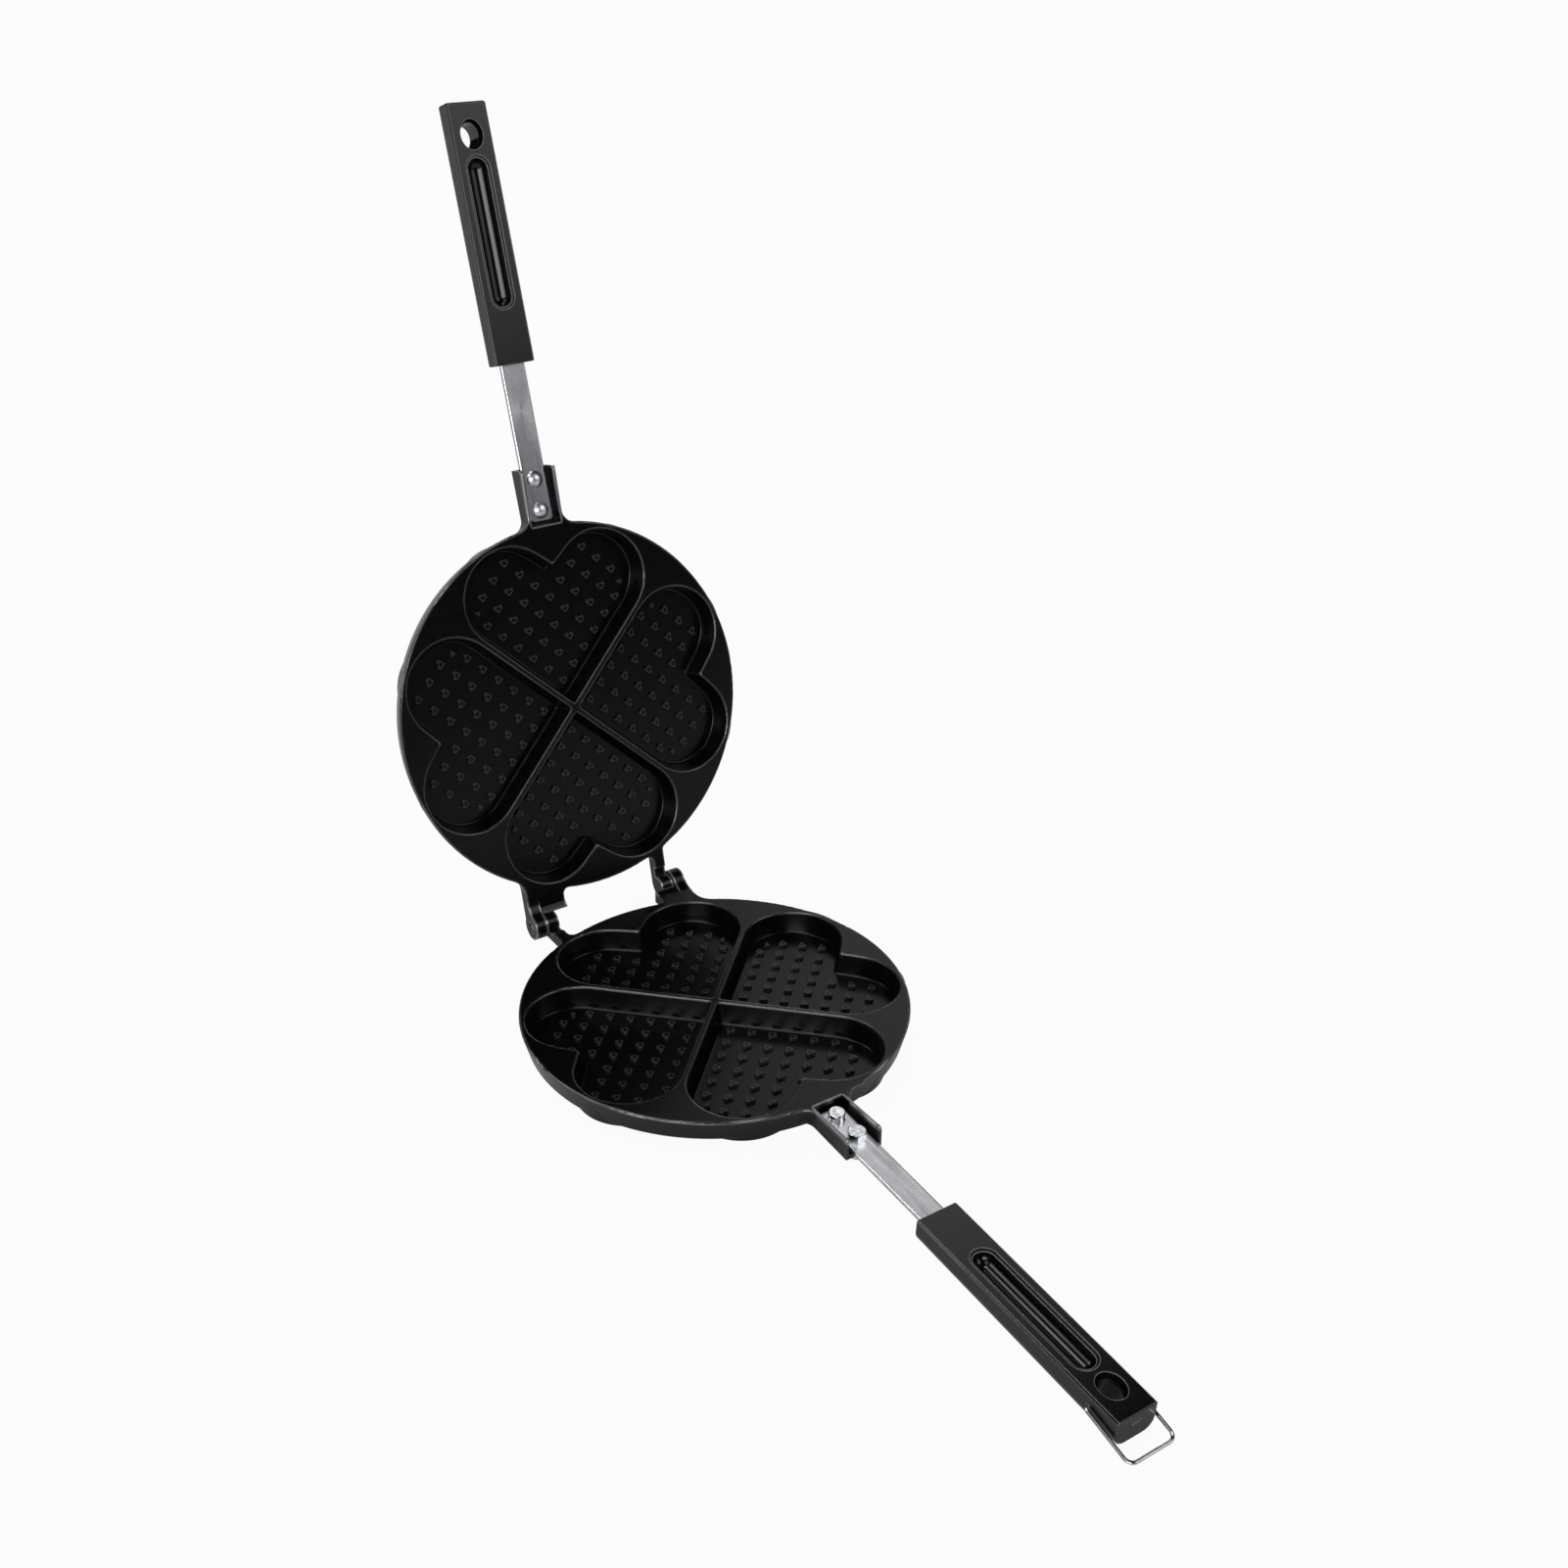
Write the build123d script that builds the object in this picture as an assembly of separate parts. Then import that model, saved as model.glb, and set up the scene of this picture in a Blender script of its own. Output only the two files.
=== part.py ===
from build123d import *
import os
from math import cos, hypot, pi, radians, sin, sqrt, tan

# Stovetop waffle iron: two round cast plates on a double hinge, each with four heart pans
# round its centre, a steel strip riveted or bolted into a socket, and a moulded handle.
# A wire bail hangs at the end of the lower handle.
#
# Each half is drawn in a frame of its own: the parting face is z = 0 with the metal below it,
# the plate's axis is x = y = 0, the hinge lies toward +Y and the handle toward -Y.
# The lower half is lifted so that the burner face of its pans is z = 0 in the finished model.
# The upper half is the same half turned over and swung open about the hinge.
# Lengths are millimetres and angles are degrees.

# ---- Plates ----
plate_r = 98.0              # parting face, at the rim
rim_depth = 11.1            # height of the rim wall
rim_draft = 15.0            # lean of the rim wall
rim_wall = 3.0              # thickness of the rim wall
web = 3.0                   # metal between the pans, under the parting face
edge_round = 0.9            # rounding of the parting face's outer edge
edge_land = 1.2             # depth of the straight edge that carries this rounding

# ---- Heart pans ----
pan_depth = 11.3            # parting face to pan floor
pan_floor = 2.7             # metal under the pan floor
pan_wall = 2.7              # metal beside the pan
pan_draft = 11.5            # lean of the pan walls
crest = 3.0                 # top of the dividing wall between two pans
rim_land = 2.6              # least width of the parting face outside a pan
lobe_r = 26.0               # lobe of the heart at the parting face
cleft_flank = 50.15         # flanks of the cleft, to the heart's axis
tip_round = 1.5             # rounding of the heart's tip and cleft
crest_round = 0.9           # rounding of the pan's upper edge
floor_round = 1.0           # rounding between pan wall and floor
foot_round = 1.2            # rounding of the pan's underside
rib_w = 8.0                 # cross ribs that join the pans underneath
hub_r = 9.0                 # flat hub at the plate's axis, flush with the pans underneath

# ---- Studs on the pan floors ----
stud_lobe_r = 1.4            # each stud is a little heart: radius of its two lobes
stud_lobe_y = 1.3            # its axis to the middle of a lobe
stud_tip = 2.35              # its place on the floor to its point
stud_turns = (135, 84, 33, -18)  # corners round a lobe, from the heart's axis
stud_h = 1.6
stud_crown = 0.86            # its top against its foot
stud_pitch = 7.5            # between rows, and half the spacing within a row
stud_first = 13.5           # plate axis to the first stud
stud_clear = 3.6            # least distance from a stud's centre to the pan wall
edge_stud = 0.6             # size of the small stud at the widest part of each lobe
edge_stud_in = 7.8          # pan wall to that stud

# ---- Hinge ----
hinge_out = 13.3            # rim to hinge axis
rim_gap = 0.2               # between the parting faces when shut
open_angle = 102.7          # between the parting faces when open
stop_gap = 0.3              # left at the open stop
lug_t = 5.6                 # thickness of both lugs
narrow_in = 32.0            # middle plane to the narrow lug
knuckle_w = 7.0             # width of the narrow lug and its knuckle
knuckle_r = 5.4
side_gap = 0.4              # between the knuckle and the barrel of one hinge
barrel_w = 6.6              # width of the barrel on the wide lug
barrel_r = 6.8
rise_back = 14.3            # hinge axis to where the wide lug starts to rise
lower_shelf_w = 12.4        # shelf beside the barrel, on the lower plate
upper_shelf_w = 15.4        # the same on the upper plate
web_gap = 0.4               # knuckle to the end of the wide lug's shelf
lip_h = 1.2                 # raised end of that shelf
lip_y = 3.5                 # length of the raised end
lip_gap = 0.6               # lip to the notch in the other plate's narrow lug
lug_flare = 10.0            # where the wide lug's outer side meets the rim
lug_corner = 3.0            # where the other lug sides meet the rim
pin_r = 2.5
pin_fit = 0.01              # pin in the knuckle that grips it
pin_run = 0.05              # pin in the barrel that turns on it
pin_sunk = 0.6              # pin end below the barrel's outer face
pin_chamfer = 0.5
pin_cap = 1.6               # metal left beyond the pin's blind hole

# ---- Arms: the steel strip and the handle slope away from the parting face ----
arm_slope = 4.185
strip_drop = 4.3            # parting face to the top of the strip, at the rim
strip_w = 13.6
strip_t = 2.6
strip_round = 1.2           # rounding of the strip's long edges
strip_corner = 3.0
bare_l = 52.4               # strip that shows between socket and handle
socket_w = 19.7
socket_l = 28.5             # rim to the socket's end
socket_wall = 1.4
socket_back = 0.3           # end wall of the socket's channel, inside the rim
end_gap = 2.0               # end wall to the strip
socket_floor = 2.0
socket_flare = 7.0
socket_corner = 2.0
seat_gap = 0.05             # strip in its handle, shank in its hole

# ---- Fasteners ----
fastener_in = 5.3           # strip's inner end to the nearer fastener
fastener_pitch = 15.8
shank_r = 2.5
dome_r = 4.4
dome_h = 2.0
tail_r = 4.0
tail_h = 1.5
tail_chamfer = 0.8
cheese_r = 4.0
cheese_h = 3.3
cheese_ring_r = 4.3
cheese_ring_h = 0.8
hex_af = 8.0
hex_head_h = 4.0
hex_nut_h = 4.0
hex_chamfer = 0.5
bolt_end = 1.5              # bolt left below the nut
washer_r = 4.4
washer_t = 1.2
washer_slit = 0.9
washer_slit_lean = 20.0

# ---- Handles ----
handle_l = 125.6
handle_w_in = 22.0
handle_w_out = 21.2
handle_t_in = 12.8
handle_t_out = 14.2
face_rise = 3.6             # handle's inner face above the strip
back_round = 6.0
face_chamfer = 0.9
end_round = 0.9
tang_in = 24.0              # strip inside the handle
key_r = 3.0                 # hole in the tang that the moulding fills
key_back = 12.0             # handle's near end to that hole
groove_start = 26.6         # handle's near end to the groove
groove_end = 25.0           # groove to the handle's far end
groove_rim = 13.0           # width of the sunk border
groove_sunk = 0.8
groove_r = 5.2
hole_back = 15.3            # handle's far end to the hanging hole
hole_rim_l = 14.5
hole_rim_w = 12.0
hole_l = 12.0
hole_w = 9.5
hole_lead = 3.0             # depth of the tapered mouth
slit_w = 4.5
slit_h = 1.0
slit_deep = 3.0

# ---- Bail ----
wire_r = 0.8
bail_back = 16.1            # handle's far end to the bail's pivot
bail_drop = 6.2             # handle's inner face to the pivot
bail_reach = 27.0           # pivot to the cross bar
bail_half = 12.2            # middle plane to a leg
bail_corner = 3.6
bail_bend = 1.7
bail_hang = 15.0            # droop of the bail as it hangs
bail_run = 0.08             # wire in the handle's hole
bail_hole_deep = 3.2
bail_end_gap = 0.3

# ---- Values that follow ----
base_z = pan_depth + pan_floor              # parting face above the burner face
axis_z = rim_gap / 2                        # hinge axis above a half's parting face
pan_lean = tan(radians(pan_draft))

# The lobe touches the pan's straight side and lies rim_land inside the rim.
half_crest = crest / 2
lobe_lead = (half_crest + lobe_r) * sqrt(2)
lobe_reach = plate_r - rim_land - lobe_r
lobe_x = (lobe_lead + sqrt(2 * lobe_reach ** 2 - lobe_lead ** 2)) / 2
lobe_y = lobe_x - lobe_lead
cleft_turn = radians(cleft_flank)
cleft_x = lobe_x + (lobe_r - lobe_y * cos(cleft_turn)) / sin(cleft_turn)
edge_stud_x = stud_first + stud_pitch * int((lobe_x - stud_first) / stud_pitch)
edge_stud_y = lobe_y + lobe_r - pan_depth * pan_lean - edge_stud_in

# Distances from the plate's axis toward the hinge, and from the middle plane to the lugs' sides.
hinge_y = plate_r + hinge_out
rise_y = hinge_y - rise_back
shelf_y = hinge_y - knuckle_r - web_gap     # end of the wide lug's shelf
notch_y = shelf_y - lip_y - lip_gap         # where the narrow lug's notch starts
narrow_out = narrow_in + knuckle_w
barrel_in = narrow_out + side_gap
wide_out = barrel_in + barrel_w
lower_wide_in = barrel_in - lower_shelf_w
upper_wide_in = barrel_in - upper_shelf_w

# Distances from the plate's axis toward the handle.
socket_in = plate_r - socket_back
socket_end = plate_r + socket_l
strip_in = socket_in + end_gap
inner_y = strip_in + fastener_in            # fastener nearer the plate
outer_y = inner_y + fastener_pitch
handle_in = socket_end + bare_l
handle_out = handle_in + handle_l
groove_near = handle_in + groove_start
groove_far = handle_out - groove_end
hole_y = handle_out - hole_back
bail_y = handle_out - bail_back

arm_cos = cos(radians(arm_slope))
arm_tan = tan(radians(arm_slope))
arm_rise = plate_r * arm_tan - strip_drop   # top of the strip, carried back to the plate's axis
channel_half = socket_w / 2 - socket_wall

END_ON = (Align.CENTER, Align.CENTER, Align.MIN)
ARM = Pos(0, 0, arm_rise) * Rot(arm_slope, 0, 0)
LOWER = Pos(0, 0, base_z)
OPEN = Pos(0, hinge_y, axis_z) * Rot(-open_angle, 0, 0) * Pos(0, -hinge_y, axis_z) * Rot(0, 180, 0)
UPPER = LOWER * OPEN


def along(y):
    """Place along the arm, negative toward the handle, that lies y from the plate's axis."""
    return -y / arm_cos


def arm_z(y, rise):
    """Height at distance y from the plate's axis of the plane that lies rise above the strip."""
    return arm_rise - y * arm_tan + rise / arm_cos


# ---- Plates ----

def heart(grow, level):
    """Heart outline along +X with its tip at the plate's axis, grown outward by grow."""
    cleft_normal = Vector(sin(cleft_turn), -cos(cleft_turn))
    side_normal = Vector(-1, 1) / sqrt(2)
    lobe = Vector(lobe_x, lobe_y)
    r = lobe_r + grow
    far_turn = (radians(135) + cleft_turn - pi / 2) / 2
    tip = Vector((half_crest - grow) * sqrt(2), 0)
    near = lobe + side_normal * r
    far = lobe + Vector(cos(far_turn), sin(far_turn)) * r
    shoulder = lobe + cleft_normal * r
    cleft = Vector(cleft_x + grow / cleft_normal.X, 0)
    upper_half = Line(tip, near) + ThreePointArc(near, far, shoulder) + Line(shoulder, cleft)
    outline = make_face(upper_half + mirror(upper_half, about=Plane.XZ))
    corners = outline.vertices().filter_by(lambda v: abs(v.Y) < 0.001)
    outline = fillet(corners, tip_round)
    return Pos(0, 0, level) * outline


def stud(size):
    """Little heart with sloping sides, its point toward the middle of the plate."""
    lobe = Vector(stud_lobe_r * sqrt(2) + stud_lobe_y - stud_tip, stud_lobe_y)
    side = [lobe + Vector(stud_lobe_r, 0).rotate(Axis.Z, turn) for turn in stud_turns]
    notch = lobe.X + sqrt(stud_lobe_r ** 2 - stud_lobe_y ** 2)
    outline = [(-stud_tip, 0)] + [(p.X, -p.Y) for p in side] + [(notch, 0)]
    outline += [(p.X, p.Y) for p in reversed(side)]
    foot = [Vector(x, y) * size for x, y in outline]
    crown = [corner * stud_crown + Vector(0, 0, stud_h) for corner in foot]
    faces = [Face(Wire.make_polygon(foot)), Face(Wire.make_polygon(crown))]
    for i in range(len(foot)):
        faces.append(Face(Wire.make_polygon([foot[i - 1], foot[i], crown[i], crown[i - 1]])))
    return Solid(Shell(faces))


def stud_places():
    """Staggered places on a pan floor that are clear of its walls."""
    inset = pan_depth * pan_lean
    places = []
    rows = int((lobe_x + lobe_r - stud_first) / stud_pitch) + 1
    for row in range(rows):
        x = stud_first + row * stud_pitch
        for step in range(-row, row + 1, 2):
            y = step * stud_pitch
            from_side = (x - abs(y)) / sqrt(2) - half_crest - inset
            from_cleft = abs(y) * cos(cleft_turn) - (x - cleft_x) * sin(cleft_turn) - inset
            out = Vector(x - lobe_x, abs(y) - lobe_y)
            beyond_side = out.X + out.Y > 0
            from_lobe = lobe_r - inset - out.length
            if from_side < stud_clear or from_cleft < stud_clear:
                continue
            if beyond_side and from_lobe < stud_clear:
                continue
            places.append((x, y))
    return places


def pan_tool():
    """What one heart pan takes out of the casting, with its studs left standing."""
    mouth = heart(0, 0)
    bowl = loft([mouth, heart(-pan_depth * pan_lean, -pan_depth)], ruled=True)
    bowl = fillet(bowl.faces().sort_by(Axis.Z)[0].edges(), floor_round)
    bowl += extrude(heart(2 * crest_round, 0), crest_round)
    lip = bowl.edges().filter_by(lambda e: e.center().Z > -0.001 and e.distance_to(mouth.wire()) < 0.001)
    bowl = fillet(lip.filter_by(lambda e: e.center().Z < 0.001), crest_round)
    floor = Pos(0, 0, -pan_depth)
    for x, y in stud_places():
        bowl -= floor * Pos(x, y, 0) * stud(1)
    for y in (-edge_stud_y, edge_stud_y):
        bowl -= floor * Pos(edge_stud_x, y, 0) * stud(edge_stud)
    return bowl


def pan_shell():
    """Outer form of one heart pan, which stands proud of the web underneath."""
    shell = loft([heart(pan_wall, 0), heart(pan_wall - base_z * pan_lean, -base_z)], ruled=True)
    return fillet(shell.faces().sort_by(Axis.Z)[0].edges(), foot_round)


def rim_r(depth):
    """Radius of the drafted rim wall at a depth below the parting face."""
    return plate_r - max(depth - edge_land, 0) * tan(radians(rim_draft))


def disc():
    """Web and drafted rim wall of the plate, open underneath."""
    half_section = Polyline(
        (0, -edge_land),
        (plate_r, -edge_land),
        (rim_r(rim_depth), -rim_depth),
        (rim_r(rim_depth) - rim_wall, -rim_depth),
        (rim_r(web) - rim_wall, -web),
        (0, -web),
        close=True,
    )
    return revolve(Plane.XZ * make_face(half_section), Axis.Z)


def block(x_from, x_to, y_from, y_to):
    """Rectangle between two corners."""
    return Pos((x_from + x_to) / 2, (y_from + y_to) / 2) * Rectangle(x_to - x_from, y_to - y_from)


def rim_corners(outline, r):
    """Corners where straight sides meet a rim of radius r, from -X to +X."""
    on_rim = outline.vertices().filter_by(lambda v: abs(hypot(v.X, v.Y) - r) < 0.001)
    return on_rim.filter_by(lambda v: abs(v.X) < wide_out + 1 and abs(v.X) > 1).sort_by(Axis.X)


def lug_plan(r, wide_in, narrow_end):
    """Round plate of radius r with its two hinge lugs, seen from above."""
    wide = block(wide_in, wide_out, 0, shelf_y)
    narrow = block(-narrow_out, -narrow_in, 0, narrow_end)
    outline = Circle(r) + wide + narrow
    outline = fillet(rim_corners(outline, r)[-1], lug_flare)
    return fillet(rim_corners(outline, r).filter_by(lambda v: v.X < wide_in + 1), lug_corner)


def socket_plan(r):
    """Round plate of radius r with its handle socket, seen from above."""
    outline = Circle(r) + block(-socket_w / 2, socket_w / 2, -socket_end, 0)
    return fillet(rim_corners(outline, r), socket_flare)


def flare(r, x, out, f):
    """Arc of radius f from a rim of radius r to a side at x, with the open corner toward out."""
    centre_y = sqrt((r + f) ** 2 - (x + out * f) ** 2)
    centre = Vector(x + out * f, centre_y)
    on_rim = centre * (r / (r + f))
    on_side = Vector(x, centre_y)
    middle = (on_rim - centre).normalized() + (on_side - centre).normalized()
    return on_rim, centre + middle.normalized() * f, on_side


def pad(r, x_from, x_to, end, flare_from, flare_to):
    """Outline of a lug that grows toward +Y out of a rim of radius r."""
    rim_from, mid_from, side_from = flare(r, x_from, -1, flare_from)
    rim_to, mid_to, side_to = flare(r, x_to, 1, flare_to)
    inward = 1 - 2 * rim_wall / r
    return make_face(
        ThreePointArc(rim_from, mid_from, side_from)
        + Polyline(side_from, (x_from, end), (x_to, end), side_to)
        + ThreePointArc(side_to, mid_to, rim_to)
        + Polyline(rim_to, rim_to * inward, rim_from * inward, rim_from)
    )


def tapered_pad(bottom, *sizes):
    """Lug below the rounded edge, whose root follows the draft of the rim wall."""
    upper = Pos(0, 0, -edge_land) * pad(rim_r(edge_land), *sizes)
    lower = Pos(0, 0, -bottom) * pad(rim_r(bottom), *sizes)
    return loft([upper, lower], ruled=True)


def side_view(face, x_from, x_to):
    """Solid between two values of x from a face drawn with y across and z up."""
    return extrude(Plane.YZ.offset(x_from) * face, x_to - x_from)


def stop_heel():
    """Side of the heel's square, so that its corner stands stop_gap from the shelf when open."""
    corner_turn = radians(open_angle + 45)
    corner_reach = (hinge_y - shelf_y - stop_gap) / -cos(corner_turn)
    return corner_reach / sqrt(2)


def narrow_knuckle():
    """End of the narrow lug: a notch for the other plate's lip and a square heel as lid stop."""
    notch_z = -lip_h - lip_gap
    neck = make_face(
        Polyline(
            (notch_y, -edge_land),
            (notch_y - (notch_z + edge_land) / 2, notch_z),
            (hinge_y, notch_z),
            (hinge_y, -lug_t),
            (notch_y - lip_y, -lug_t),
            (notch_y - lip_y, -edge_land),
            close=True,
        )
    )
    heel = stop_heel()
    knuckle = Pos(hinge_y, axis_z) * (Circle(knuckle_r) + block(0, heel, 0, heel))
    return side_view(neck + knuckle, -narrow_out, -narrow_in)


def wide_barrel(wide_in):
    """End of the wide lug: the raised lip of its shelf, and the arm that rises to the barrel."""
    lip = make_face(
        Polyline(
            (shelf_y - lip_y, -edge_land),
            (shelf_y - lip_y, 0),
            (shelf_y - lip_y / 3, lip_h),
            (shelf_y, lip_h),
            (shelf_y, -edge_land),
            close=True,
        )
    )
    run = hinge_y - rise_y
    rise_r = (run ** 2 + axis_z ** 2 - barrel_r ** 2) / (2 * (barrel_r + axis_z))
    centre = Vector(rise_y, rise_r)
    to_axis = (Vector(hinge_y, axis_z) - centre).normalized()
    rise_top = centre + to_axis * rise_r
    rise_mid = centre + (Vector(0, -1) + to_axis).normalized() * rise_r
    over = ThreePointArc((rise_y, 0), rise_mid, rise_top)
    under = Polyline(rise_top, (hinge_y, axis_z), (hinge_y, -lug_t), (rise_y, -lug_t), (rise_y, 0))
    arm = make_face(over + under) + Pos(hinge_y, axis_z) * Circle(barrel_r)
    return side_view(lip, wide_in, barrel_in) + side_view(arm, barrel_in, wide_out)


def socket_trim():
    """What the socket block loses: its underside along the arm, and its sharp end corners."""
    under = -strip_t - socket_floor
    past = socket_end + socket_corner
    below = make_face(
        Polyline(
            (0, arm_z(0, under)),
            (-past, arm_z(past, under)),
            (-past, -2 * base_z),
            (0, -2 * base_z),
            close=True,
        )
    )
    end = Pos(-socket_end, 0)
    square = block(0, socket_corner, -socket_corner, 0)
    corner = end * (square - Pos(socket_corner, -socket_corner) * Circle(socket_corner))
    return below, corner


def channel_tool():
    """What the strip's channel takes out of the socket."""
    past = socket_end + socket_corner
    inside = make_face(
        Polyline(
            (-socket_in, pan_depth),
            (-past, pan_depth),
            (-past, arm_z(past, -strip_t)),
            (-socket_in, arm_z(socket_in, -strip_t)),
            close=True,
        )
    )
    return side_view(inside, -channel_half, channel_half)


def shank_tool(y):
    """Hole through strip and socket floor for one fastener."""
    return ARM * Pos(0, along(y), 0) * Cylinder(shank_r + seat_gap, 8 * strip_t)


def pin_tool():
    """Bores for one hinge pin: running in the barrel, gripping and blind in the knuckle."""
    run = Cylinder(pin_r + pin_run, wide_out - barrel_in, align=END_ON)
    mouth = Cone(pin_r, pin_r + 2 * pin_sunk, 2 * pin_sunk, align=END_ON)
    mouth = Pos(0, 0, wide_out - barrel_in - pin_sunk) * mouth
    deep = narrow_out - narrow_in - pin_cap
    grip = Cylinder(pin_r + pin_fit, deep, align=END_ON)
    barrel = Pos(barrel_in, hinge_y, axis_z) * Rot(0, 90, 0) * (run + mouth)
    knuckle = Pos(-narrow_out + deep, hinge_y, axis_z) * Rot(0, -90, 0) * grip
    return barrel + knuckle


def plate(wide_in):
    """One cast plate with its four pans, its socket and its hinge lugs."""
    top = extrude(lug_plan(plate_r, wide_in, notch_y) + socket_plan(plate_r), -edge_land)
    top = fillet(top.faces().sort_by(Axis.Z)[-1].edges(), edge_round)
    wide = tapered_pad(lug_t, wide_in, wide_out, shelf_y, lug_corner, lug_flare)
    narrow = tapered_pad(lug_t, -narrow_out, -narrow_in, notch_y, lug_corner, lug_corner)
    half = socket_w / 2
    socket = tapered_pad(rim_depth, -half, half, socket_end, socket_flare, socket_flare)
    below, corner = socket_trim()
    socket = Rot(0, 0, 180) * socket - side_view(below, -plate_r, plate_r)
    body = top + disc() + wide + narrow + socket + narrow_knuckle() + wide_barrel(wide_in)
    body -= side_view(corner, -plate_r, plate_r) + channel_tool() + pin_tool()
    body -= [shank_tool(y) for y in (inner_y, outer_y)]
    rib = Pos(0, 0, -pan_depth / 2) * Box(2 * lobe_x, rib_w, pan_depth)
    body += [Rot(0, 0, turn) * rib for turn in (45, 135)]
    body += Pos(0, 0, -base_z) * Cylinder(hub_r, base_z - web, align=END_ON)
    body += [Rot(0, 0, turn) * pan_shell() for turn in (0, 90, 180, 270)]
    tool = pan_tool()
    for turn in (0, 90, 180, 270):
        body -= Rot(0, 0, turn) * tool
    return body


def hinge_pin():
    """Pin along +X from its blind end in the knuckle to its sunk end in the barrel."""
    start = narrow_in + pin_cap + pin_fit
    pin = Cylinder(pin_r, wide_out - pin_sunk - start, align=END_ON)
    pin = chamfer(pin.edges().filter_by(GeomType.CIRCLE), pin_chamfer)
    return Pos(start, hinge_y, axis_z) * Rot(0, 90, 0) * pin


# ---- Arms ----

def strip():
    """Flat steel strip from the socket into the handle, with its fastener and key holes."""
    inner = along(strip_in)
    outer = along(handle_in) - tang_in
    across = Pos(0, -strip_t / 2) * RectangleRounded(strip_w, strip_t, strip_round)
    bar = extrude(Plane.XZ.offset(-inner) * across, inner - outer)
    outline = block(-strip_w / 2, strip_w / 2, outer, inner)
    outline = fillet(outline.vertices(), strip_corner)
    bar &= Pos(0, 0, -strip_t) * extrude(outline, strip_t)
    key = Pos(0, along(handle_in) - key_back, 0) * Cylinder(key_r, 4 * strip_t)
    bar = ARM * (bar - key)
    return bar - [shank_tool(y) for y in (inner_y, outer_y)]


def grip_block():
    """Square-edged handle, tapered as seen from above and from the side."""
    near = along(handle_in)
    far = along(handle_out)
    from_side = Polyline(
        (near, face_rise),
        (far, face_rise),
        (far, face_rise - handle_t_out),
        (near, face_rise - handle_t_in),
        close=True,
    )
    from_above = Polyline(
        (handle_w_in / 2, near),
        (-handle_w_in / 2, near),
        (-handle_w_out / 2, far),
        (handle_w_out / 2, far),
        close=True,
    )
    thick = side_view(make_face(from_side), -handle_w_in, handle_w_in)
    return thick & extrude(make_face(from_above), handle_t_out, both=True)


def oval(length, width, height):
    """Oval at a height above the strip's top, long along the handle."""
    return Pos(0, along(hole_y), height) * Ellipse(width / 2, length / 2)


def hanging_hole():
    """Oval hole through the handle, with a tapered mouth in the inner face."""
    mouth = loft([oval(hole_rim_l, hole_rim_w, face_rise), oval(hole_l, hole_w, face_rise - hole_lead)])
    through = extrude(oval(hole_l, hole_w, face_rise), -2 * handle_t_out)
    return mouth + through


def groove():
    """Half-round finger groove with ball ends, inside a shallow sunk border."""
    near = along(groove_near)
    far = along(groove_far)
    middle = (near + far) / 2
    border = Pos(0, middle, face_rise) * SlotOverall(near - far, groove_rim, rotation=90)
    sunk = extrude(border, -groove_sunk) + extrude(border, groove_sunk)
    inset = groove_rim / 2
    run = near - far - 2 * inset
    bottom = Pos(0, middle, face_rise - groove_sunk)
    round_bar = Rot(90, 0, 0) * Cylinder(groove_r, run)
    ends = [Pos(0, side * run / 2, 0) * Sphere(groove_r) for side in (-1, 1)]
    return sunk + bottom * (round_bar + ends)


def tang_tool():
    """Pocket for the strip's tang, with the stud of moulding that fills its key hole."""
    back = tang_in + seat_gap
    pocket = block(-strip_w / 2 - seat_gap, strip_w / 2 + seat_gap, -back, back)
    pocket = extrude(pocket, strip_t + 2 * seat_gap)
    key = Pos(0, -key_back, 0) * Cylinder(key_r - seat_gap, 8 * strip_t)
    return Pos(0, along(handle_in), -strip_t - seat_gap) * (pocket - key)


def handle():
    """Moulded handle with groove, hanging hole, tang pocket, end slit and bail holes."""
    grip = grip_block()
    long_edges = grip.edges().filter_by(lambda e: e.length > handle_l - 1).sort_by(Axis.Z)
    grip = fillet(long_edges[:2], back_round)
    long_edges = grip.edges().filter_by(lambda e: e.length > handle_l - 1).sort_by(Axis.Z)
    grip = chamfer(long_edges[-2:], face_chamfer)
    for end in (handle_out, handle_in):
        outline = grip.edges().filter_by(lambda e: abs(e.center().Y - along(end)) < 0.001)
        grip = fillet(outline, end_round)
    slit = Pos(0, along(handle_out), -strip_t / 2) * Box(slit_w, 2 * slit_deep, slit_h)
    grip -= hanging_hole() + groove() + tang_tool() + slit
    side = handle_w_out / 2 - bail_hole_deep
    for turn in (-90, 90):
        hole = Cylinder(wire_r + bail_run, handle_w_in, align=END_ON)
        out = side if turn > 0 else -side
        grip -= Pos(out, along(bail_y), face_rise - bail_drop) * Rot(0, turn, 0) * hole
    return ARM * grip


def bail():
    """Wire bail drawn with its legs straight out along the arm."""
    end_x = handle_w_out / 2 - bail_hole_deep + bail_end_gap
    half_path = [(end_x, 0), (bail_half, 0), (bail_half, -bail_reach)]
    points = half_path + [(-x, y) for x, y in reversed(half_path)]
    path = FilletPolyline(points, radius=[bail_bend, bail_corner, bail_corner, bail_bend])
    wire = sweep((path ^ 0) * Circle(wire_r), path=path)
    droop = bail_hang - arm_slope
    return ARM * Pos(0, along(bail_y), face_rise - bail_drop) * Rot(droop, 0, 0) * wire


# ---- Fasteners, drawn standing on the strip with their shank pointing down ----

def cap(r, h):
    """Low dome of radius r and height h."""
    ball_r = (r ** 2 + h ** 2) / (2 * h)
    return (Pos(0, 0, h - ball_r) * Sphere(ball_r)) & Cylinder(r, 2 * ball_r, align=END_ON)


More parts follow.
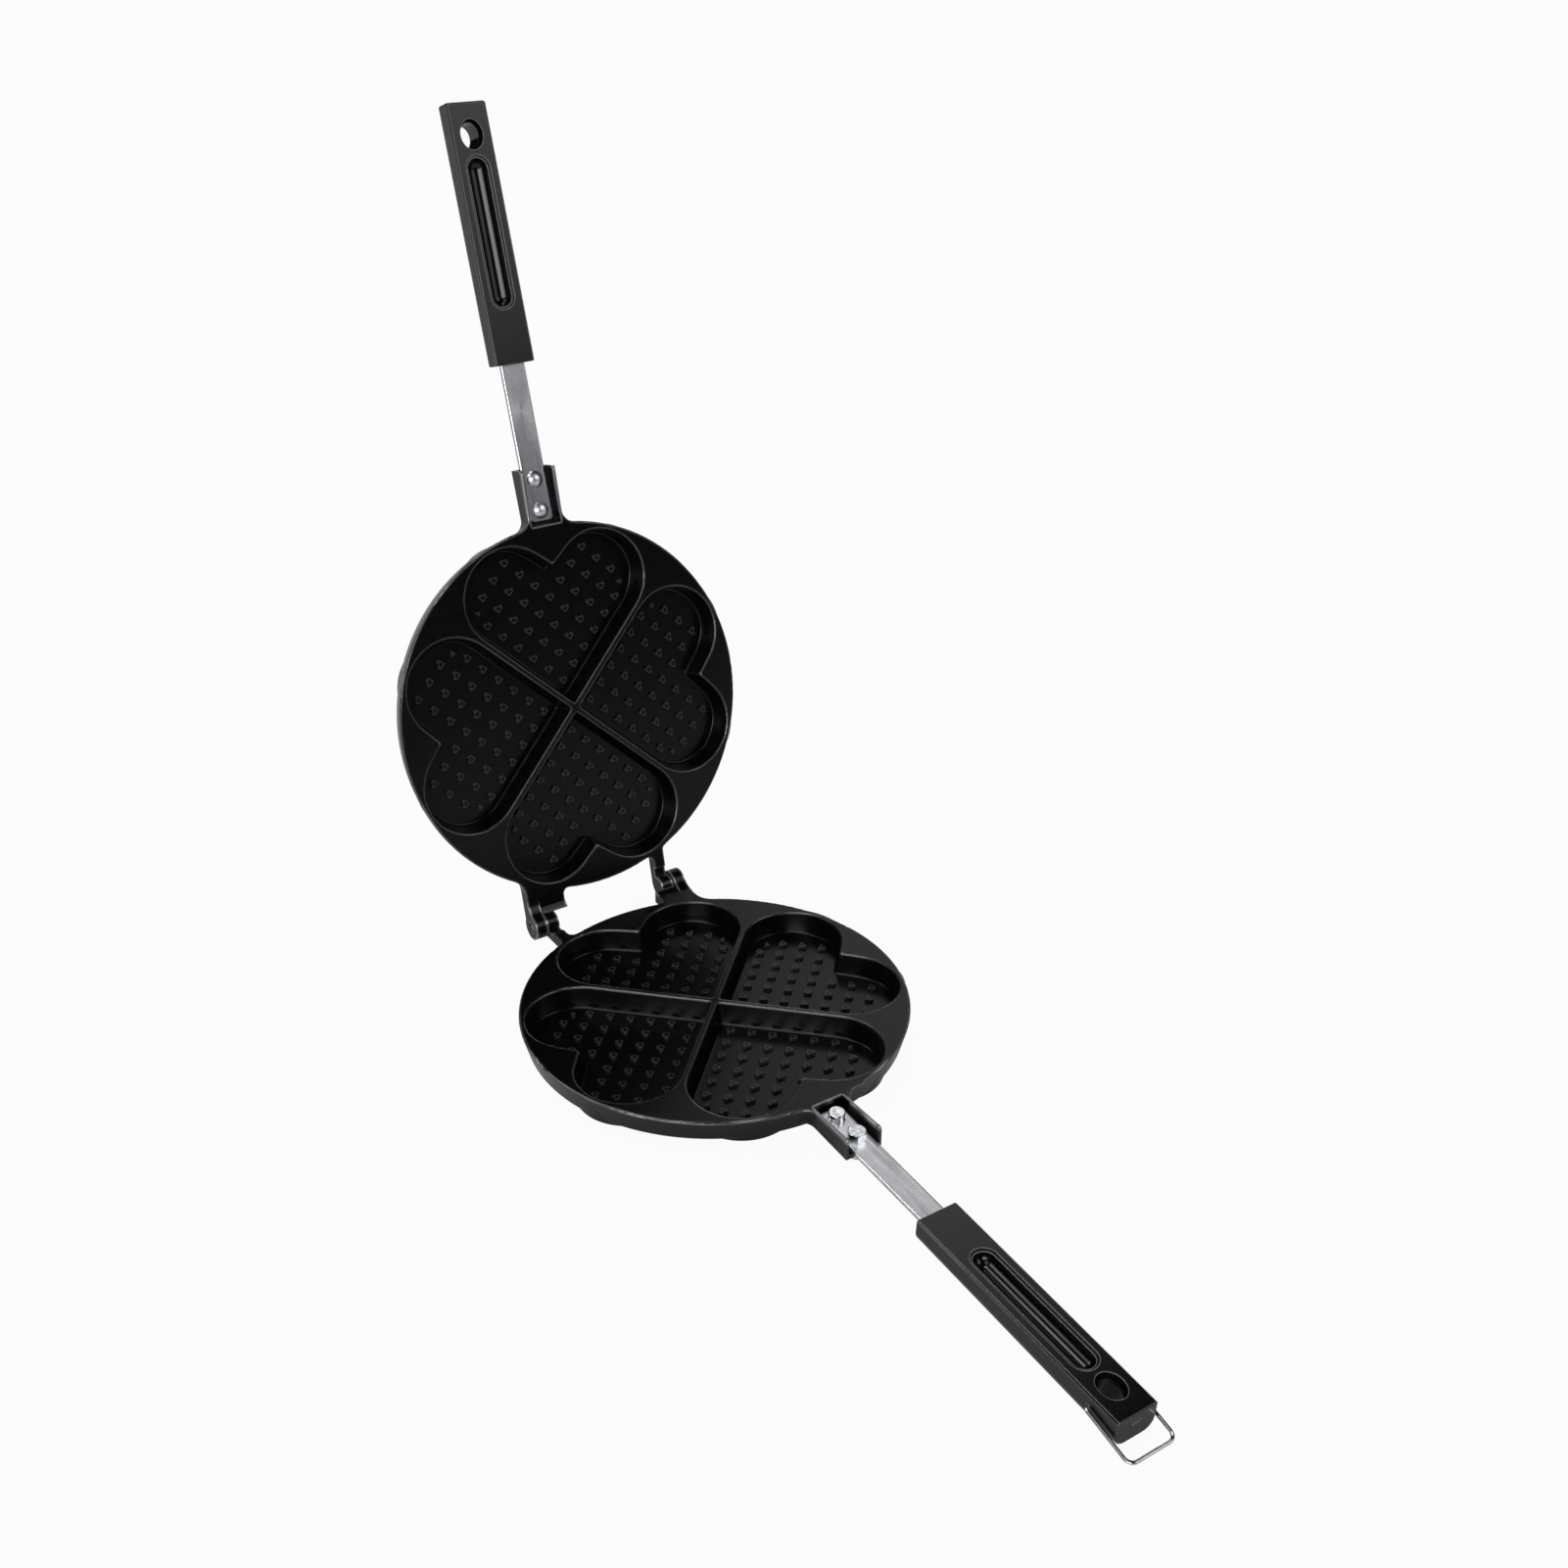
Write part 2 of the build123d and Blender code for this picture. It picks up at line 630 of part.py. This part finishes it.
def riveted(head):
    """Shank under a head, closed by a flatter head under the socket floor."""
    grip = strip_t + socket_floor
    shank = Pos(0, 0, -grip) * Cylinder(shank_r, grip, align=END_ON)
    tail = Pos(0, 0, -grip - tail_h) * Cylinder(tail_r, tail_h, align=END_ON)
    tail = chamfer(tail.edges().filter_by(GeomType.CIRCLE).sort_by(Axis.Z)[0], tail_chamfer)
    return head + shank + tail


def cheese_head():
    """Tall flat-topped head on a slightly wider ring."""
    head = Cylinder(cheese_r, cheese_h, align=END_ON)
    head = fillet(head.edges().filter_by(GeomType.CIRCLE).sort_by(Axis.Z)[-1], hex_chamfer)
    return head + Cylinder(cheese_ring_r, cheese_ring_h, align=END_ON)


def hexagon(height):
    """Hexagonal prism with both ends turned to a cone at its corners."""
    corner_r = hex_af / sqrt(3)
    prism = extrude(RegularPolygon(hex_af / 2, 6, major_radius=False), height)
    turned = Cylinder(corner_r, height, align=END_ON)
    turned = chamfer(turned.edges().filter_by(GeomType.CIRCLE), hex_chamfer / 2, corner_r - hex_af / 2)
    return prism & turned


def hex_bolt():
    """Bolt whose shank passes the strip, the socket floor, the washer and the nut."""
    length = strip_t + socket_floor + washer_t + hex_nut_h + bolt_end
    shank = Pos(0, 0, -length) * Cylinder(shank_r, length, align=END_ON)
    shank = chamfer(shank.edges().filter_by(GeomType.CIRCLE).sort_by(Axis.Z)[0], pin_chamfer)
    return hexagon(hex_head_h) + shank


def spring_washer():
    """Split ring under the socket floor."""
    ring = Cylinder(washer_r, washer_t, align=END_ON) - Cylinder(shank_r + seat_gap, 3 * washer_t)
    ring -= Rot(0, washer_slit_lean, 0) * Pos(0, washer_r, 0) * Box(washer_slit, 2 * washer_r, 4 * washer_t)
    return Pos(0, 0, -strip_t - socket_floor - washer_t) * ring


def hex_nut():
    """Nut under the spring washer."""
    nut = hexagon(hex_nut_h) - Cylinder(shank_r + seat_gap, 3 * hex_nut_h)
    return Pos(0, 0, -strip_t - socket_floor - washer_t - hex_nut_h) * nut


def fitted(piece, y):
    """Piece moved to its place along the arm."""
    return ARM * Pos(0, along(y), 0) * piece


# ---- Assembly ----

def all_parts():
    """Every sub-part by name, in its place with the lid standing open."""
    half_strip = strip()
    half_handle = handle()
    pin = hinge_pin()
    dome = riveted(cap(dome_r, dome_h))
    return {
        "lower_plate": LOWER * plate(lower_wide_in),
        "lower_strip": LOWER * half_strip,
        "lower_handle": LOWER * half_handle,
        "lower_cheese_rivet": LOWER * fitted(riveted(cheese_head()), inner_y),
        "lower_hex_bolt": LOWER * fitted(hex_bolt(), outer_y),
        "lower_spring_washer": LOWER * fitted(spring_washer(), outer_y),
        "lower_hex_nut": LOWER * fitted(hex_nut(), outer_y),
        "wire_bail": LOWER * bail(),
        "right_hinge_pin": LOWER * pin,
        "upper_plate": UPPER * plate(upper_wide_in),
        "upper_strip": UPPER * half_strip,
        "upper_handle": UPPER * half_handle,
        "upper_inner_rivet": UPPER * fitted(dome, inner_y),
        "upper_outer_rivet": UPPER * fitted(dome, outer_y),
        "left_hinge_pin": UPPER * pin,
    }


os.makedirs("parts", exist_ok=True)
for name, piece in all_parts().items():
    export_step(piece, f"parts/{name}.step")
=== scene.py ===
# %% [markdown]
# # Stovetop waffle iron
# Two round castings are hinged together, and each carries a steel arm with a moulded handle.
# The shapes come from the CAD model, which loads here as a fixed frame of named nodes.
# The iron could be modelled again in Blender, but two models would drift apart, so this script
# only gives every node its finish, and adds the camera, the floor and the light.
# All lengths in Blender are metres, and the helper `mm` keeps the numbers readable.

# %% Load the frame
from math import cos, radians, sin

import bpy
from mathutils import Matrix, Vector

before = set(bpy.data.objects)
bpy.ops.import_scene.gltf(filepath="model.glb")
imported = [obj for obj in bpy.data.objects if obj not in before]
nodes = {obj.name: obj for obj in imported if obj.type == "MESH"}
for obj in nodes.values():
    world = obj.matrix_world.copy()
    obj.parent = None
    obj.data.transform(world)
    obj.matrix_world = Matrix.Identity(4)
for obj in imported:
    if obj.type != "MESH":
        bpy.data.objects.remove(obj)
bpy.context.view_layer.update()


def mm(length):
    """Millimetres to metres."""
    return length / 1000


# %% [markdown]
# ## Colours
# Colours are picked as sRGB hex values, the way a paint chart gives them.
# Shaders work in linear light, and a hex value typed in as it is would come out too pale.
# So every colour in this script goes through one function with the curve of the sRGB standard.

# %% Colour helper


def linear(hex_colour):
    """sRGB hex such as '#c8ccd0' to a linear RGBA tuple."""
    parts = [int(hex_colour[i : i + 2], 16) / 255 for i in (1, 3, 5)]
    return tuple(c / 12.92 if c <= 0.04045 else ((c + 0.055) / 1.055) ** 2.4 for c in parts) + (1.0,)


def dimmed(colour, share):
    """A linear colour with its light cut to a share."""
    return tuple(c * share for c in colour[:3]) + (1.0,)


print("#808080 is", round(linear("#808080")[0], 3), "in linear light")

# %% [markdown]
# ## Nodes
# A finish is a small network of shader nodes. It could be wired by hand in the shader editor,
# but wiring in a script can be read and run again.
# One function adds a node, applies its settings, and fills its inputs. An input that is given
# a socket is linked to that socket, so a whole network reads from top to bottom.

# %% Node helper


def add_node(tree, kind, inputs=None, **settings):
    """Adds a node, applies its settings, and fills or links its inputs."""
    node = tree.nodes.new(kind)
    for name, value in settings.items():
        setattr(node, name, value)
    for name, value in (inputs or {}).items():
        if isinstance(value, bpy.types.NodeSocket):
            tree.links.new(value, node.inputs[name])
        else:
            node.inputs[name].default_value = value
    return node


# %% Open a material, close it, and give it to nodes


def new_material(name):
    """Empty node material, its node tree, and object coordinates in metres."""
    material = bpy.data.materials.new(name)
    material.use_nodes = True
    tree = material.node_tree
    tree.nodes.clear()
    place = add_node(tree, "ShaderNodeTexCoord").outputs["Object"]
    return material, tree, place


def finish_material(tree, **inputs):
    """Closes a material with one Principled shader."""
    named = {key.replace("_", " "): value for key, value in inputs.items()}
    shader = add_node(tree, "ShaderNodeBsdfPrincipled", named)
    add_node(tree, "ShaderNodeOutputMaterial", {"Surface": shader.outputs[0]})


def dress(material, *names):
    """Gives CAD nodes their material."""
    for name in names:
        for slot in nodes[name].material_slots:
            slot.material = material
    print(material.name, "->", ", ".join(names))


# %% [markdown]
# ## Surface detail
# No real surface is quite even: a casting has gentle waves, a sprayed coating has orange peel,
# and plated steel is cloudy. Image textures could show this, but they need unfolded faces.
# Noise worked out from the place of each point needs none, and its grain has a real size.
# The place is measured in the object's own coordinates, so the grain moves with its body.

# %% Noise, ramp, bump and mixed colour


def noise(tree, place, grain_mm, detail, **more):
    """Noise around 0.5 whose coarsest grain has the given size."""
    inputs = {"Vector": place, "Scale": 1 / mm(grain_mm), "Detail": detail, **more}
    return add_node(tree, "ShaderNodeTexNoise", inputs).outputs[0]


def ramp(tree, value, low, high, out_low=0.0, out_high=1.0):
    """Maps value from the range low..high to out_low..out_high, smoothly."""
    inputs = {"Value": value, "From Min": low, "From Max": high, "To Min": out_low, "To Max": out_high}
    return add_node(tree, "ShaderNodeMapRange", inputs, interpolation_type="SMOOTHSTEP").outputs["Result"]


def bump(tree, height, strength, depth_mm, normal=None):
    """Tilts the shading normal by a height, starting from an earlier normal if there is one."""
    inputs = {"Height": height, "Strength": strength, "Distance": mm(depth_mm)}
    if normal is not None:
        inputs["Normal"] = normal
    return add_node(tree, "ShaderNodeBump", inputs).outputs[0]


def mixed_colour(tree, factor, first, second):
    """The first colour where the factor is 0, and the second where it is 1."""
    mixed = add_node(tree, "ShaderNodeMix", {"Factor": factor, "A": first, "B": second}, data_type="RGBA")
    return mixed.outputs["Result"]


# %% [markdown]
# ## Edges
# On the real iron no edge is quite sharp, and edges catch thin highlights, which are painted here as a
# pale colour.
# The CAD model has the large roundings. The ones that are left are under half a millimetre, and a
# Bevel node gives them in the shading alone, which costs no faces.
# A pale edge could be painted by hand, but a mask finds every edge by itself: rays sent into
# the metal soon come out again near a convex edge, and ambient occlusion counts them.

# %% Soft normal and edge mask


def soft_normal(tree, radius_mm, samples):
    """Shading normal that turns round an edge with the given radius."""
    return add_node(tree, "ShaderNodeBevel", {"Radius": mm(radius_mm)}, samples=samples).outputs[0]


def edge_mask(tree, reach_mm, samples, full, gone, most=1.0):
    """`most` where the openness inside is under `full`, and 0 where it is over `gone`."""
    settings = {"inside": True, "only_local": True, "samples": samples}
    openness = add_node(tree, "ShaderNodeAmbientOcclusion", {"Distance": mm(reach_mm)}, **settings)
    return ramp(tree, openness.outputs["AO"], full, gone, out_low=most, out_high=0.0)


# %% [markdown]
# ## Non-stick coating on cast aluminium
# Both plates are cast in aluminium and sprayed with a black PTFE coating that is baked on.
# The coating is satin: its low refractive index keeps reflections weak, the spray leaves a very
# fine orange peel, and the cast skin shows through as faint waves.
# Where the plates meet when the iron is shut, the edges are burnished to pale metal, and these
# The thin pale lines on the lips of the pans are a painted highlight. Edges get a pale, partly metallic
# colour that is strongest near the parting face, where the plates meet when the iron is shut, and faint
# farther from it. One Principled shader is
# simpler, because a single mask drives its colour and its Metallic value together.

# %% Where the plates meet
# A parting face lies at the hinge line, and its direction points away from its own casting.
hinge_line = Vector((0.0, 0.1113, 0.0141))
lid_open = radians(102.7)
parting_faces = {"lower_plate": (0.0, 0.0, 1.0), "upper_plate": (0.0, -sin(lid_open), -cos(lid_open))}
# Painted highlight: how far below the parting face the pale edge colour reaches.
sheen_full_mm = 1.5
sheen_gone_mm = 3.0
sheen_elsewhere = 0.1


def near_parting_face(tree, place, facing):
    """1 down to `sheen_full_mm` under the parting face, and a small share beyond `sheen_gone_mm`."""
    from_hinge = add_node(tree, "ShaderNodeVectorMath", {0: place, 1: hinge_line}, operation="SUBTRACT")
    inputs = {0: from_hinge.outputs[0], 1: facing}
    height = add_node(tree, "ShaderNodeVectorMath", inputs, operation="DOT_PRODUCT").outputs["Value"]
    return ramp(tree, height, -mm(sheen_gone_mm), -mm(sheen_full_mm), out_low=sheen_elsewhere)


print("the upper parting face looks along", [round(part, 3) for part in parting_faces["upper_plate"]])

# %% Coated casting
peel_mm = 0.9
cast_skin_mm = 6.0
casting_edge_mm = 0.25
# Painted highlight: reach of the edge mask, and how metallic the pale edges are.
painted_sheen_reach_mm = 1.5
coating_ior = 1.35
sheen_metallic = 0.7


def coated_casting(name, facing):
    """Satin black coating with a painted pale highlight on edges, most of all on those by the parting
    face.
    """
    material, tree, place = new_material(name)
    peel = noise(tree, place, peel_mm, detail=1.0)
    skin = noise(tree, place, cast_skin_mm, detail=2.0)
    normal = soft_normal(tree, casting_edge_mm, samples=6)
    normal = bump(tree, skin, strength=0.08, depth_mm=0.1, normal=normal)
    normal = bump(tree, peel, strength=0.04, depth_mm=0.02, normal=normal)
    coating = mixed_colour(tree, ramp(tree, skin, 0.35, 0.65), linear("#050506"), linear("#070709"))
    # Painted highlight: pale, partly metallic colour on convex edges near the parting face.
    on_edge = edge_mask(tree, painted_sheen_reach_mm, samples=8, full=0.74, gone=0.89)
    by_face = near_parting_face(tree, place, facing)
    painted_sheen = add_node(tree, "ShaderNodeMath", {0: on_edge, 1: by_face}, operation="MULTIPLY").outputs[0]
    finish_material(
        tree,
        Base_Color=mixed_colour(tree, painted_sheen, coating, linear("#95969a")),
        Metallic=ramp(tree, painted_sheen, 0.0, 1.0, out_high=sheen_metallic),
        Roughness=ramp(tree, peel, 0.3, 0.7, out_low=0.2, out_high=0.25),
        IOR=coating_ior,
        Normal=normal,
    )
    return material


for plate_name, facing in parting_faces.items():
    dress(coated_casting("black_nonstick_coating_" + plate_name, facing), plate_name)

# %% [markdown]
# ## Phenolic resin handles
# The handles are phenolic resin, pressed hot in a polished steel mould. The mould leaves a high gloss with
# faint flow marks, and use adds fine hairlines. The thin pale lines on the edges are a painted highlight.
# A clear coat over dull plastic could look alike, but pressed resin is the same all through.
# So it is one Principled shader without a coat, and its index of 1.45, which is above the
# coating's, makes it shine more than the plates.

# %% Phenolic resin
flow_mm = 14.0
hairline_mm = 0.35
hairline_stretch = 0.06
handle_edge_mm = 0.4
handle_highlight_mm = 0.5
resin_ior = 1.45

phenolic, tree, place = new_material("black_phenolic_resin")
flow = noise(tree, place, flow_mm, detail=5.0, Distortion=0.8)
stretch = (1.0, hairline_stretch, hairline_stretch)
stretched = add_node(tree, "ShaderNodeMapping", {"Vector": place, "Scale": stretch}).outputs[0]
hairline = noise(tree, stretched, hairline_mm, detail=2.0)
normal = soft_normal(tree, handle_edge_mm, samples=4)
normal = bump(tree, flow, strength=0.08, depth_mm=0.25, normal=normal)
normal = bump(tree, hairline, strength=0.05, depth_mm=0.02, normal=normal)
resin = mixed_colour(tree, ramp(tree, flow, 0.4, 0.6), linear("#050506"), linear("#070708"))
# Painted highlight: a pale colour on the convex edges of the handles.
painted_handle_highlight = edge_mask(tree, handle_highlight_mm, samples=5, full=0.75, gone=0.97, most=0.8)
finish_material(
    tree,
    Base_Color=mixed_colour(tree, painted_handle_highlight, resin, linear("#8a8b8f")),
    Roughness=ramp(tree, hairline, 0.35, 0.7, out_low=0.13, out_high=0.2),
    IOR=resin_ior,
    Normal=normal,
)
dress(phenolic, "lower_handle", "upper_handle")

# %% [markdown]
# ## Rolled steel arms
# The arms are cut from bright cold-rolled strip. Rolling and a last brushing leave fine lines
# along the strip, so its reflections are drawn out across it.
# The lines could be an image laid on the strip. Here they are noise that is stretched along the
# arm, which has no seam. Each arm needs its own turn, because one lies down and the other
# stands up.

# %% Brushed strip
line_mm = 0.22
line_stretch = 0.012
smudge_mm = 9.0
smudge_share = 0.86
# Both arms are the same steel. The upper arm's darker colour is painted shade.
arms = {"lower_strip": (radians(-4.185), "#e6e7ea"), "upper_strip": (radians(-73.115), "#c9cacf")}


def brushed_steel(name, turn, hex_colour):
    """Bright steel with brushed lines along an arm that is turned about X."""
    steel, tree, place = new_material(name)
    turned = add_node(tree, "ShaderNodeMapping", {"Vector": place, "Rotation": (turn, 0.0, 0.0)})
    inputs = {"Vector": turned.outputs[0], "Scale": (1.0, line_stretch, 1.0)}
    drawn = add_node(tree, "ShaderNodeMapping", inputs).outputs[0]
    lines = noise(tree, drawn, line_mm, detail=4.0, Roughness=0.6)
    smudge = noise(tree, place, smudge_mm, detail=3.0)
    bright = linear(hex_colour)
    finish_material(
        tree,
        Base_Color=mixed_colour(tree, ramp(tree, smudge, 0.35, 0.7), bright, dimmed(bright, smudge_share)),
        Metallic=1.0,
        Roughness=ramp(tree, lines, 0.3, 0.7, out_low=0.22, out_high=0.34),
        Anisotropic=0.5,
        Normal=bump(tree, lines, strength=0.16, depth_mm=0.02),
    )
    return steel


for strip_name, (arm_turn, arm_tone_and_painted_shade) in arms.items():
    dress(brushed_steel("cold_rolled_steel_" + strip_name, arm_turn, arm_tone_and_painted_shade), strip_name)

# %% [markdown]
# ## Rivets, bolt, bail and pins
# The two domed rivets are cold-headed steel with a bright nickel plate, and the press leaves
# them a little uneven. The tall rivet is turned, so it is smoother. The bolt, its washer and
# nut are zinc plated, which looks slightly clouded. The bail is drawn stainless wire, almost
# polished, and the hinge pins are plain ground steel.
# Five separate networks could be built. One function makes all five finishes, because they
# differ only in tone, gloss and unevenness.

# %% Small steel pieces
grit_mm = 0.25
cloud_share = 0.82
small_steels = {
    # name: colour, roughness at its least and most, size of the clouds in mm, strength of the dents
    "nickel_plated_cold_headed_steel": ("#eeeef1", 0.26, 0.38, 2.5, 0.05),
    "nickel_plated_turned_steel": ("#f0f0f3", 0.15, 0.24, 2.5, 0.05),
    "zinc_plated_steel": ("#eef0f4", 0.17, 0.28, 1.6, 0.06),
    "drawn_stainless_wire": ("#d9d9dc", 0.1, 0.18, 3.0, 0.05),
    "ground_steel_pin": ("#8c8c90", 0.25, 0.4, 1.5, 0.1),
}
made_of = {
    "nickel_plated_cold_headed_steel": ("upper_inner_rivet", "upper_outer_rivet"),
    "nickel_plated_turned_steel": ("lower_cheese_rivet",),
    "zinc_plated_steel": ("lower_hex_bolt", "lower_spring_washer", "lower_hex_nut"),
    "drawn_stainless_wire": ("wire_bail",),
    "ground_steel_pin": ("left_hinge_pin", "right_hinge_pin"),
}


def small_steel(name, hex_colour, smooth, rough, cloud_mm, dent):
    """Bright metal whose gloss and surface vary in clouds of a given size."""
    steel, tree, place = new_material(name)
    cloud = noise(tree, place, cloud_mm, detail=4.0)
    grit = noise(tree, place, grit_mm, detail=2.0)
    dents = bump(tree, cloud, strength=dent, depth_mm=0.15)
    bright = linear(hex_colour)
    finish_material(
        tree,
        Base_Color=mixed_colour(tree, ramp(tree, cloud, 0.4, 0.7), bright, dimmed(bright, cloud_share)),
        Metallic=1.0,
        Roughness=ramp(tree, cloud, 0.3, 0.7, out_low=smooth, out_high=rough),
        Normal=bump(tree, grit, strength=0.06, depth_mm=0.02, normal=dents),
    )
    return steel


for steel_name, look in small_steels.items():
    dress(small_steel(steel_name, *look), *made_of[steel_name])

# %% [markdown]
# ## Camera
# The iron is seen from in front and to the left, looking down on the lower plate.
# A constraint could keep the camera aimed at a point, but here its direction is known: a bearing,
# a height angle and a small roll. The three axes of the camera follow from these, and its lens
# from a focal length in pixels, turned into millimetres for a 36 mm sensor.

# %% Directions of the camera
bearing = radians(-34.161)
height_angle = radians(27.819)
roll = radians(0.276)
camera_place = Vector((-0.39448, -0.64186, 0.53399))
world_up = Vector((0, 0, 1))

back = Vector((sin(bearing) * cos(height_angle), -cos(bearing) * cos(height_angle), sin(height_angle)))
level_right = (-back).cross(world_up).normalized()
level_up = level_right.cross(-back)
right = cos(roll) * level_right + sin(roll) * level_up
up = cos(roll) * level_up - sin(roll) * level_right
print("the camera looks along", [round(part, 3) for part in -back])

# %% Camera and lens
sensor_mm = 36.0
picture_px = 1601
focal_px = 1846.25

lens = bpy.data.cameras.new("studio_camera")
lens.sensor_width = sensor_mm
lens.lens = sensor_mm * focal_px / picture_px
camera = bpy.data.objects.new("studio_camera", lens)
camera.matrix_world = Matrix.Translation(camera_place) @ Matrix((right, up, back)).transposed().to_4x4()
bpy.context.scene.collection.objects.link(camera)
bpy.context.scene.camera = camera
bpy.context.scene.view_settings.view_transform = "Standard"
print("lens", round(lens.lens, 2), "mm")

# %% [markdown]
# ## Floor
# The open iron stands on the rear edge of its lower pans and on the end of the lower handle,
# which reaches lower than the pans. The floor is a wide plane that passes less than a
# millimetre under those two contacts, so in the frame of the iron it tilts a little.
# The iron could be tilted on a level floor, but its nodes have to stay where the frame has them.

# %% Floor plane
floor_rear = Vector((0.0, 0.0865, 0.0))
floor_front = Vector((0.0, -0.3037, -0.0164))
floor_clear = mm(0.15)
floor_half = 6.0

slope = (floor_rear - floor_front).normalized()
start = floor_front - Vector((0, 0, floor_clear))
signs = [(-1, -1), (1, -1), (1, 1), (-1, 1)]
corners = [start + slope * v * floor_half + Vector((u * floor_half, 0, 0)) for u, v in signs]
floor_mesh = bpy.data.meshes.new("studio_floor")
floor_mesh.from_pydata(corners, [], [(0, 1, 2, 3)])
floor = bpy.data.objects.new("studio_floor", floor_mesh)
bpy.context.scene.collection.objects.link(floor)
print("floor tilts", round(slope.z / slope.y, 4), "per unit length")

# %% [markdown]
# ## Pale paper on the floor
# The floor is matt pale paper. More light could make it white, but would fall on the iron too.
# Instead a little emission is mixed in by the kind of ray: to the camera the paper is lifted
# almost to white, and to the mirror images in metal and coating only a little.
# The share of paper that is left still takes the shadow of the iron.

# %% Paper
camera_lift = 0.95
gloss_lift = 0.15

paper, tree, _ = new_material("matt_pale_paper")
seen = add_node(tree, "ShaderNodeLightPath")
sheet = add_node(tree, "ShaderNodeBsdfDiffuse", {"Color": linear("#dcdcdc")})
glow = add_node(tree, "ShaderNodeEmission", {"Color": (1, 1, 1, 1), "Strength": 1.0})
to_gloss = {0: seen.outputs["Is Glossy Ray"], 1: gloss_lift}
in_gloss = add_node(tree, "ShaderNodeMath", to_gloss, operation="MULTIPLY").outputs[0]
to_camera = {0: seen.outputs["Is Camera Ray"], 1: camera_lift, 2: in_gloss}
lift = add_node(tree, "ShaderNodeMath", to_camera, operation="MULTIPLY_ADD").outputs[0]
mixed = add_node(tree, "ShaderNodeMixShader", {0: lift, 1: sheet.outputs[0], 2: glow.outputs[0]})
add_node(tree, "ShaderNodeOutputMaterial", {"Surface": mixed.outputs[0]})
floor_mesh.materials.append(paper)
print("paper lifted by", camera_lift, "to the camera")

# %% [markdown]
# ## Light
# Black gloss shows little but the mirror image of its room, so the room is what has to be
# built. Lamps could light the iron, but each one's distance would change its mirror image.
# A world that depends on direction alone has no distances: the room is nearly dark, with
# bright areas such as softboxes and reflectors give.
# Two big softboxes low at the front left brighten the lips of the pans. The window areas behind
# right are what the flat lower plate mirrors, and the lamp and the card in front right are what
# the upright handle mirrors. To the camera the room is as pale as the floor.

# %% Bright areas
room_level = 0.01
horizon_level = 0.97
bright_areas = {
    # name: turned from +Y toward +X, raised, full within, gone beyond (all in degrees), level
    "front left softbox": (212, 20, 3, 16, 6.0),
    "left softbox": (231, 16, 3, 16, 4.4),
    "left floor glow": (240, 2, 3, 20, 1.8),
    "left ceiling panel": (252, 56, 3, 20, 1.9),
    "rear left panel": (312, 38, 3, 14, 4.0),
    "overhead softbox": (0, 74, 3, 14, 6.5),
    "rear right window sill": (40, 2, 3, 20, 2.8),
    "rear right window foot": (40, 20, 3, 20, 0.3),
    "rear right window": (39.5, 39, 5, 11, 0.6),
    "rear right window top": (46, 46.5, 2, 8, 0.8),
    "right panel": (130, 20, 3, 20, 1.2),
    "front right panel": (144, 38, 3, 18, 1.7),
    "front right lamp": (150, 30, 3, 7, 1.8),
    "front right card": (154, 22, 3, 9, 1.15),
}


def bright_area(tree, direction, turned, raised, full, gone, level):
    """Soft round area of light: all of its level within one angle, and none beyond the other."""
    turned, raised = radians(turned), radians(raised)
    toward = (sin(turned) * cos(raised), cos(turned) * cos(raised), sin(raised))
    near = add_node(tree, "ShaderNodeVectorMath", {0: direction, 1: toward}, operation="DOT_PRODUCT")
    return ramp(tree, near.outputs["Value"], cos(radians(gone)), cos(radians(full)), out_high=level)


print(len(bright_areas), "bright areas:", ", ".join(bright_areas))

# %% Room
world = bpy.data.worlds.new("studio")
bpy.context.scene.world = world
world.use_nodes = True
tree = world.node_tree
tree.nodes.clear()
direction = add_node(tree, "ShaderNodeTexCoord").outputs["Generated"]
total = room_level
for area in bright_areas.values():
    light = bright_area(tree, direction, *area)
    total = add_node(tree, "ShaderNodeMath", {0: total, 1: light}, operation="ADD").outputs[0]
seen = add_node(tree, "ShaderNodeLightPath")
by_ray = {"Factor": seen.outputs["Is Camera Ray"], "A": total, "B": horizon_level}
level = add_node(tree, "ShaderNodeMix", by_ray).outputs["Result"]
room = add_node(tree, "ShaderNodeBackground", {"Color": (1, 1, 1, 1), "Strength": level})
add_node(tree, "ShaderNodeOutputWorld", {"Surface": room.outputs[0]})
print("room level", room_level, "beside the bright areas, and", horizon_level, "to the camera")
